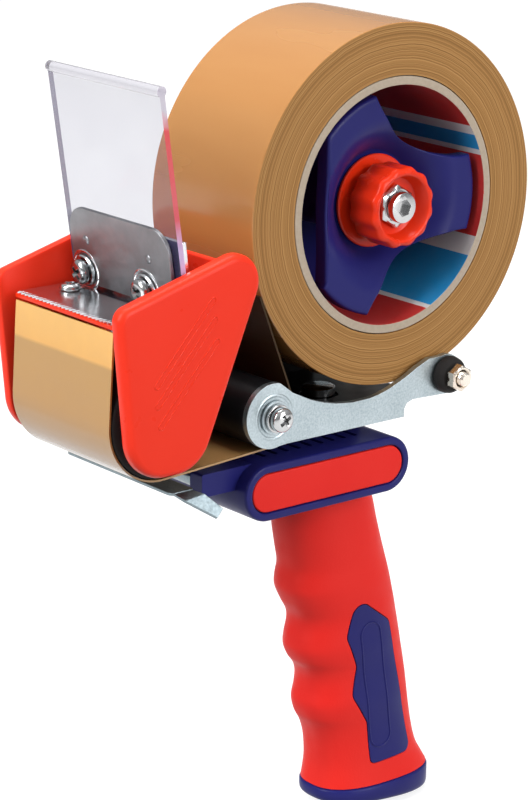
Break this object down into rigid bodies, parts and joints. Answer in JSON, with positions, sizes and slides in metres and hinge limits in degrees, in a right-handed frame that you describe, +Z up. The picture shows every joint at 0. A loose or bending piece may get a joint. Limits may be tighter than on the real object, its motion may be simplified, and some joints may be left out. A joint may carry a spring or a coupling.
{
  "type": "tape gun dispenser",
  "caption": "Hand-held packing tape dispenser: steel frame, braked hub with tape roll, rollers, toothed cutter under a clear flap, red guard and pistol grip.",
  "frame": {"origin": "middle of the bounding box, on the level of the lowest edge of the grip base", "axes": "+X towards the open side with the brake knob, -Y towards the cutter, +Z up along the grip towards the roll"},
  "size_m": [0.0758, 0.17, 0.2684],
  "materials": {
    "red_plastic": "soft satin moulding",
    "blue_plastic": "soft satin moulding",
    "zinc_steel": "bright zinc plated sheet",
    "bright_steel": "bright plated fasteners",
    "black_plastic": "satin",
    "black_rubber": "matt",
    "brown_tape": "glossy film",
    "core_cardboard": "wound card",
    "clear_plastic": "clear moulding"
  },
  "bodies": {
    "frame": {"blade_bracket": "zinc_steel", "blade_edge_strip": "red_plastic", "blade_screw_far": "bright_steel", "blade_screw_near": "bright_steel", "brake_disc": "red_plastic", "brake_spring": "bright_steel", "clamp_plate": "zinc_steel", "clamp_screw_far": "bright_steel", "clamp_screw_near": "bright_steel", "clamp_washer_far": "zinc_steel", "clamp_washer_near": "zinc_steel", "clear_flap": "clear_plastic", "cutter_blade": "bright_steel", "frame_channel": "zinc_steel", "frame_saddle": "blue_plastic", "front_axle": "bright_steel", "front_axle_collar": "bright_steel", "front_guard": "red_plastic", "grip_base": "blue_plastic", "grip_body": "red_plastic", "grip_bolt": "bright_steel", "grip_collar": "blue_plastic", "grip_head": "blue_plastic", "grip_pad_far": "blue_plastic", "grip_pad_near": "blue_plastic", "guard_screw": "bright_steel", "guide_nut": "bright_steel", "guide_screw": "bright_steel", "guide_spring_washer": "bright_steel", "guide_washer": "zinc_steel", "head_inlay_far": "red_plastic", "head_inlay_near": "red_plastic", "head_screw": "bright_steel", "hub_spindle": "bright_steel", "inner_shield": "black_plastic", "lever_pin": "bright_steel", "rear_bolt": "bright_steel", "rear_bush": "black_rubber", "rear_nut": "bright_steel", "spindle_nut": "bright_steel", "tape_web": "brown_tape"},
    "roll": {"roll_hub": "blue_plastic", "tape_core": "core_cardboard", "tape_roll": "brown_tape"},
    "knob": {"brake_knob": "red_plastic", "knob_nut": "bright_steel", "knob_screw": "bright_steel"},
    "guide_roller": {"guide_roller": "black_plastic"},
    "front_roller": {"front_roller_core": "black_plastic", "front_roller_tyre": "black_rubber"},
    "lever": {"finger_lever": "zinc_steel"}
  },
  "joints": [
    {"name": "roll_spin", "type": "hinge", "parent": "frame", "child": "roll", "pos_m": [-0.0005, 0.02761, 0.21096], "axis": [1, 0, 0], "continuous": true},
    {"name": "knob_turn", "type": "hinge", "parent": "frame", "child": "knob", "pos_m": [0.0195, 0.02761, 0.21096], "axis": [1, 0, 0], "range_deg": [-180, 180]},
    {"name": "guide_spin", "type": "hinge", "parent": "frame", "child": "guide_roller", "pos_m": [-0.0005, -0.02319, 0.15196], "axis": [1, 0, 0], "continuous": true},
    {"name": "front_spin", "type": "hinge", "parent": "frame", "child": "front_roller", "pos_m": [-0.0005, -0.06389, 0.15756], "axis": [1, 0, 0], "continuous": true},
    {"name": "lever_press", "type": "hinge", "parent": "frame", "child": "lever", "pos_m": [0.0045, -0.03939, 0.13136], "axis": [-1, 0, 0], "range_deg": [0, 4], "stiffness_Nm_per_rad": 0.2, "springref_deg": -5.73}
  ],
  "couplings": [
    {"joint": "guide_spin", "follows": "roll_spin", "ratio": -5.3211},
    {"joint": "front_spin", "follows": "roll_spin", "ratio": -3.0688}
  ]
}
